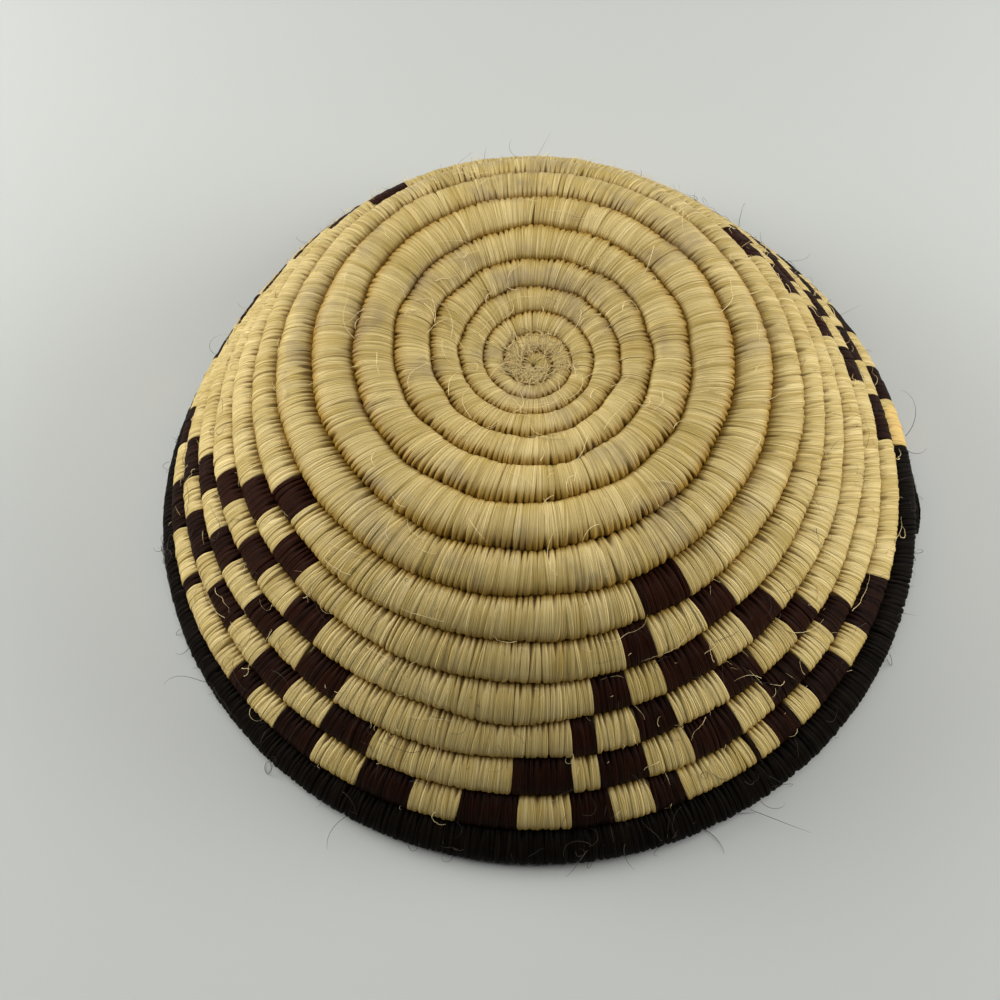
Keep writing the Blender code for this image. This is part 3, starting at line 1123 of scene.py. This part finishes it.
@dataclass(frozen=True)
class RaffiaFinish:
    """The finish of raffia: pale and deep strands, streaks, glints, stains and painted shade in
    the notches.

    The colours are mixed in that order, and the edge colour paints shade over the coil's edges.
    A range is the source's two values, and the two that they become.
    """

    name: str
    pale: Colour
    deep: Colour
    streak: Colour
    # The notch colour is painted shade in the valleys and notches between strands.
    notch: Colour
    stain: Colour
    stain_share: float
    roughness: float
    specular: float
    glint: Colour
    # The edge colour is painted shade, multiplied in towards the coil's edges.
    edge: Colour = (1.0, 1.0, 1.0)
    fibre_size: Point = (0.00040, 0.0900, 1.0)
    streak_size: Point = (0.00022, 0.0300, 1.0)
    streak_detail: float = 2.0
    stain_detail: float = 3.0
    noise_roughness: float = 0.6
    shade_tone: Range = (0.0, 1.0, -0.34, 0.34)
    streak_tone: Range = (0.35, 0.65, -0.30, 0.30)
    streak_range: Range = (0.56, 0.72, 0.0, 0.55)
    glint_range: Range = (0.42, 0.30, 0.0, 0.60)
    fibre_rim: Range = (0.0, 0.12, 0.50, 0.0)
    notch_shade_range: Range = (0.20, 0.85, 0.0, 0.90)
    fibre_relief: Range = (0.0, 0.30, 0.0, 1.0)
    blotches: tuple[float, float] = (0.52, 0.68)
    anisotropic: float = 0.8
    stain_size: float = 0.020
    stain_height: tuple[float, float] = (0.078, 0.092)
    bump_height: float = 0.00012

    def material(self) -> bpy.types.Material:
        """Builds the material.

        Returns:
            The material.
        """
        sheet = ShaderSheet(self.name)
        strand_map = sheet.node("ShaderNodeUVMap", uv_map="strand_map").outputs["UV"]
        shade, rims = sheet.long_cells(strand_map, self.fibre_size)
        streaks = sheet.stretched_noise(
            strand_map, self.streak_size, self.streak_detail, self.noise_roughness
        )
        tone = sheet.sum(sheet.attribute("tint"), sheet.ranged(shade, *self.shade_tone))
        tone = sheet.sum(tone, sheet.ranged(streaks, *self.streak_tone))
        colour = sheet.mixed(tone, self.pale, self.deep)
        colour = sheet.mixed(sheet.ranged(streaks, *self.streak_range), colour, self.streak)
        colour = sheet.mixed(sheet.ranged(streaks, *self.glint_range), colour, self.glint)
        colour = sheet.mixed(sheet.ranged(rims, *self.fibre_rim), colour, self.streak)
        # Painted shade towards the coil's edges.
        colour = sheet.mixed(sheet.attribute("edge"), colour, self.edge, "MULTIPLY")
        colour = sheet.mixed(self.stained(sheet), colour, self.stain)
        # Painted shade in the valleys and notches between strands.
        hollow = sheet.ranged(sheet.attribute("hollow"), *self.notch_shade_range)
        colour = sheet.mixed(hollow, colour, self.notch)
        sheet.link(colour, sheet.shader.inputs["Base Color"])
        bump = sheet.node("ShaderNodeBump")
        bump.inputs["Strength"].default_value = 1.0
        bump.inputs["Distance"].default_value = self.bump_height
        relief = sheet.sum(sheet.ranged(rims, *self.fibre_relief), streaks)
        sheet.link(relief, bump.inputs["Height"])
        sheet.link(bump.outputs["Normal"], sheet.shader.inputs["Normal"])
        sheet.shader.inputs["Roughness"].default_value = self.roughness
        sheet.shader.inputs["Specular IOR Level"].default_value = self.specular
        sheet.shader.inputs["Anisotropic"].default_value = self.anisotropic
        tangent = sheet.node("ShaderNodeTangent", direction_type="UV_MAP", uv_map="strand_map")
        sheet.link(tangent.outputs["Tangent"], sheet.shader.inputs["Tangent"])
        return sheet.material

    def stained(self, sheet: ShaderSheet) -> bpy.types.NodeSocket:
        """How stained each place is: blotches, times a share that rises towards the base.

        Args:
            sheet: The material that the nodes are added to.

        Returns:
            Values from 0 to the stain's share.
        """
        place = sheet.node("ShaderNodeTexCoord").outputs["Object"]
        size = (self.stain_size, self.stain_size, self.stain_size)
        noise = sheet.stretched_noise(place, size, self.stain_detail, self.noise_roughness)
        blotch = sheet.ranged(noise, *self.blotches, 0.0, self.stain_share)
        height = sheet.node("ShaderNodeSeparateXYZ")
        sheet.link(place, height.inputs["Vector"])
        on_base = sheet.ranged(height.outputs["Z"], *self.stain_height, 0.0, 1.0)
        return sheet.sum(blotch, on_base, "MULTIPLY")


@dataclass(frozen=True)
class PlainFinish:
    """A finish of one colour."""

    name: str
    colour: Colour
    roughness: float

    def material(self) -> bpy.types.Material:
        """Builds the material.

        Returns:
            The material.
        """
        sheet = ShaderSheet(self.name)
        sheet.shader.inputs["Base Color"].default_value = (*self.colour, 1.0)
        sheet.shader.inputs["Roughness"].default_value = self.roughness
        return sheet.material


# In each raffia finish, notch is painted shade in the valleys between strands.
NATURAL = RaffiaFinish(
    name="natural_raffia_strands",
    pale=(0.77, 0.60, 0.252),
    deep=(0.48, 0.34, 0.085),
    streak=(0.25, 0.155, 0.038),
    notch=(0.19, 0.115, 0.026),
    stain=(0.22, 0.165, 0.110),
    stain_share=0.45,
    roughness=0.50,
    specular=0.30,
    glint=(0.92, 0.76, 0.38),
    # Painted shade at the coil's edges, also in the amber finish.
    edge=(0.64, 0.51, 0.24),
)
AMBER = replace(
    NATURAL,
    name="amber_raffia_strands",
    pale=(0.80, 0.58, 0.18),
    deep=(0.66, 0.38, 0.11),
    streak=(0.30, 0.17, 0.035),
    notch=(0.15, 0.085, 0.018),
    stain_share=0.0,
    roughness=0.48,
    glint=(0.92, 0.70, 0.28),
)
DARK = RaffiaFinish(
    name="dark_raffia_strands",
    pale=(0.022, 0.0050, 0.0020),
    deep=(0.0030, 0.0012, 0.0007),
    streak=(0.044, 0.017, 0.009),
    notch=(0.0016, 0.0008, 0.0005),
    stain=(0.010, 0.006, 0.005),
    stain_share=0.0,
    roughness=0.52,
    specular=0.03,
    glint=(0.050, 0.019, 0.011),
)
RIM = replace(
    DARK,
    name="black_raffia_strands",
    pale=(0.0085, 0.0052, 0.0034),
    deep=(0.0012, 0.0009, 0.0007),
    streak=(0.020, 0.014, 0.009),
    notch=(0.0006, 0.0005, 0.0004),
    roughness=0.55,
    specular=0.02,
    glint=(0.024, 0.016, 0.011),
)
GRASS = PlainFinish(name="grass_stems", colour=(0.30, 0.21, 0.09), roughness=0.85)
HAIR = PlainFinish(name="stray_brown_fibre", colour=(0.030, 0.018, 0.010), roughness=0.6)
PALE_HAIR = PlainFinish(name="stray_pale_fibre", colour=(0.78, 0.63, 0.30), roughness=0.5)
MAT_FIBRE = PlainFinish(name="matted_fibre", colour=(0.62, 0.48, 0.21), roughness=0.6)


@dataclass
class BasketBowl:
    """The whole bowl: its coil, wraps, pattern and loose fibres, in place of the plain solids."""

    path: CoilPath = field(default_factory=CoilPath)
    pattern: Pattern = field(default_factory=Pattern)
    wrap_count: int = 13
    knot_end: float = 0.03
    tail_turn: float = 13.53
    rim_slit: float = 0.00034
    wall_face: tuple[float, float] = (25.0, 155.0)

    def seams(self) -> list[float]:
        """Turns where one wrap's solid ends and the next begins, from the first to the rim."""
        steps = np.arange(self.wrap_count)
        return (self.pattern.rim_turn - (self.wrap_count - 1) + steps).tolist()

    def build(self) -> None:
        """Makes every piece and puts it on the frame."""
        natural, dark, black = NATURAL.material(), DARK.material(), RIM.material()
        amber_turn, rim_turn = self.pattern.amber_turn, self.pattern.rim_turn
        seams = self.seams()
        stops = (self.knot_end, *seams[:-1], amber_turn, seams[-1], self.tail_turn)
        wrap = RaffiaWrap(self.path, Strands(self.path, self.pattern, stops))
        turns = (self.path.first_turn, self.knot_end)
        centre = wrap.build("centre_swirl", turns, Fibre.NATURAL, natural)
        self.seat(centre, Fibre.NATURAL, "start_knot", "start_tip")
        for number, (start, end) in enumerate(zip([self.knot_end, *seams], seams), 1):
            turns = (start, min(end, amber_turn))
            piece = wrap.build(f"raffia_turn_{number:02d}", turns, Fibre.NATURAL, natural)
            self.seat(piece, Fibre.NATURAL, f"wrap_turn_{number:02d}")
        amber = AMBER.material()
        piece = wrap.build("amber_stretch", (amber_turn, rim_turn), Fibre.NATURAL, amber)
        self.seat(piece, Fibre.NATURAL)
        for row in range(self.pattern.rows):
            start = self.pattern.row_turn(row) + self.pattern.row_seam
            turns = (start, min(start + 1.0, rim_turn))
            piece = wrap.build(f"dark_blocks_row_{row + 1}", turns, Fibre.DARK, dark)
            self.seat(piece, Fibre.DARK)
        wrap = replace(wrap, face_slit=self.rim_slit)
        rim = wrap.build("dark_rim", (rim_turn, self.tail_turn), Fibre.DARK, black)
        self.seat(rim, Fibre.DARK, "rim_wrap")
        turns = (self.tail_turn, self.path.last_turn)
        tail = wrap.build("dark_rim_tail", turns, Fibre.DARK, black)
        self.seat(tail, Fibre.DARK, "rim_tail")
        bundle = GrassBundle(self.path).build("grass_bundle", GRASS.material())
        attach(bundle, "root")
        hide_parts("foundation_core")
        self.add_loose_fibres()

    def seat(self, piece: bpy.types.Object, fibre: Fibre, *nodes: str) -> None:
        """Fixes a piece to the frame, in place of the solids that it stands for.

        Args:
            piece: The piece.
            fibre: What it is made of; not used.
            nodes: The solids.
        """
        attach(piece, "root")
        if nodes:
            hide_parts(*nodes)

    def add_loose_fibres(self) -> None:
        """Makes the stray fibres: pale ones all over, dark ones near the pattern and the rim."""
        path, pattern = self.path, self.pattern
        straw, hair = PALE_HAIR.material(), HAIR.material()
        near = (pattern.near_right.middle, pattern.near_left.middle, pattern.far_right.middle)
        body, rows, rim, wall = (0.5, 12.4), (8.0, 13.2), (12.74, 13.74), (6.6, 12.7)
        pale = LyingFibres(path, 11, 120, body, (0.007, 0.022), (0.00008, 0.00012))
        tufts = LyingFibres(path, 15, 100, (1.0, 12.4), (0.004, 0.010), (0.00010, 0.00016))
        tufts = replace(tufts, bend=2.0)
        mat = LyingFibres(path, 18, 360, (-1.2, -0.2), (0.0022, 0.0050), (0.00008, 0.00017))
        mat = replace(mat, rise=(0.0, 0.0003), bend=0.4, sway=0.0, steps=12, nearest=0.0012)
        dark = LyingFibres(path, 12, 110, rows, (0.006, 0.018), (0.00006, 0.00010))
        dark = replace(dark, bend=2.6, near=near)
        fuzz = StandingHairs(path, 13, 260, rim, (0.0008, 0.0036), (0.00005, 0.00007))
        curls = StandingHairs(path, 14, 60, rim, (0.006, 0.024), (0.00008, 0.00012))
        brown = StandingHairs(path, 16, 170, wall, (0.002, 0.012), (0.00005, 0.00008))
        straws = StandingHairs(path, 17, 260, wall, (0.002, 0.010), (0.00006, 0.00009))
        brown, straws = (replace(hairs, around=self.wall_face) for hairs in (brown, straws))
        for name, fibres, fibre, material in (
            ("loose_pale_fibres", pale, Fibre.NATURAL, straw),
            ("short_pale_fibres", tufts, Fibre.NATURAL, straw),
            ("centre_mat_fibres", mat, Fibre.NATURAL, MAT_FIBRE.material()),
            ("loose_dark_hairs", dark, Fibre.DARK, hair),
            ("rim_fuzz", fuzz, Fibre.DARK, hair),
            ("rim_long_hairs", curls, Fibre.DARK, hair),
            ("wall_brown_hairs", brown, Fibre.DARK, hair),
            ("wall_pale_hairs", straws, Fibre.NATURAL, straw),
        ):
            self.seat(fibres.build(name, material), fibre)


@dataclass(frozen=True)
class Softbox:
    """A square studio lamp, aimed at the bowl."""

    name: str
    place: Point
    size: float
    power: float

    def build(self, target: Vector) -> bpy.types.Object:
        """Hangs the lamp.

        Args:
            target: The point that it is aimed at.

        Returns:
            The lamp.
        """
        data = bpy.data.lights.new(self.name, "AREA")
        data.size = self.size
        data.energy = self.power
        lamp = bpy.data.objects.new(self.name, data)
        lamp.location = self.place
        lamp.rotation_euler = (target - Vector(self.place)).to_track_quat("-Z", "Y").to_euler()
        bpy.context.scene.collection.objects.link(lamp)
        return lamp


@dataclass
class Studio:
    """The floor, the light and the camera."""

    floor_colour: Colour = (0.52, 0.53, 0.50)
    floor_size: float = 6.0
    floor_roughness: float = 0.8
    world_colour: Colour = (0.93, 0.97, 1.0)
    world_strength: float = 0.05
    camera_place: Point = (0.0073, -0.2581, 0.5266)
    camera_target: Point = (-0.0155, -0.0050, -0.0017)
    focal_length: float = 54.0
    sensor_width: float = 36.0
    clip_start: float = 0.01
    aim: Point = (0.0, 0.0, 0.05)
    lamps: tuple[Softbox, ...] = (
        Softbox("left_lamp", (-0.80, 0.12, 0.38), 0.6, 8.1),
        Softbox("right_lamp", (0.80, 0.15, 0.38), 0.6, 8.1),
        Softbox("back_lamp", (-0.45, 0.80, 1.00), 0.8, 2.6),
        Softbox("top_lamp", (0.00, 0.10, 1.40), 0.8, 4.6),
    )

    def build(self) -> None:
        """Lays the floor, hangs the lamps and sets the camera."""
        half = self.floor_size / 2.0
        mesh = bpy.data.meshes.new("floor")
        corners = [(-half, -half, 0.0), (half, -half, 0.0), (half, half, 0.0), (-half, half, 0.0)]
        mesh.from_pydata(corners, [], [(0, 1, 2, 3)])
        finish = PlainFinish("pale_floor", self.floor_colour, self.floor_roughness)
        mesh.materials.append(finish.material())
        floor = bpy.data.objects.new("floor", mesh)
        bpy.context.scene.collection.objects.link(floor)
        target = Vector(self.aim)
        for lamp in self.lamps:
            lamp.build(target)
        self.light_world()
        self.set_camera()

    def light_world(self) -> None:
        """Lights with a soft world, and shows rays from the camera, gloss and glass a pale one."""
        world = bpy.data.worlds.new("studio_world")
        world.use_nodes = True
        tree = world.node_tree
        background = tree.nodes["Background"]
        background.inputs["Color"].default_value = (*self.world_colour, 1.0)
        background.inputs["Strength"].default_value = self.world_strength
        backdrop = tree.nodes.new("ShaderNodeBackground")
        backdrop.inputs["Color"].default_value = (*self.floor_colour, 1.0)
        light_path = tree.nodes.new("ShaderNodeLightPath")
        mixer = tree.nodes.new("ShaderNodeMixShader")
        seen = light_path.outputs["Is Camera Ray"]
        for ray in ("Is Glossy Ray", "Is Transmission Ray"):
            either = tree.nodes.new("ShaderNodeMath")
            either.operation = "MAXIMUM"
            tree.links.new(seen, either.inputs[0])
            tree.links.new(light_path.outputs[ray], either.inputs[1])
            seen = either.outputs["Value"]
        tree.links.new(seen, mixer.inputs["Fac"])
        tree.links.new(background.outputs["Background"], mixer.inputs[1])
        tree.links.new(backdrop.outputs["Background"], mixer.inputs[2])
        tree.links.new(mixer.outputs["Shader"], tree.nodes["World Output"].inputs["Surface"])
        bpy.context.scene.world = world

    def set_camera(self) -> None:
        """Sets the camera at the photograph's place and angle."""
        data = bpy.data.cameras.new("camera")
        data.lens = self.focal_length
        data.sensor_width = self.sensor_width
        data.clip_start = self.clip_start
        camera = bpy.data.objects.new("camera", data)
        camera.location = self.camera_place
        aim = Vector(self.camera_target) - Vector(self.camera_place)
        camera.rotation_euler = aim.to_track_quat("-Z", "Y").to_euler()
        bpy.context.scene.collection.objects.link(camera)
        bpy.context.scene.camera = camera
        bpy.context.scene.view_settings.view_transform = "Standard"


def main() -> None:
    """Builds the bowl and the studio, in order."""
    logging.basicConfig(level=logging.INFO, format="%(name)s: %(message)s")
    BasketBowl().build()
    Studio().build()


if __name__ == "__main__":
    main()
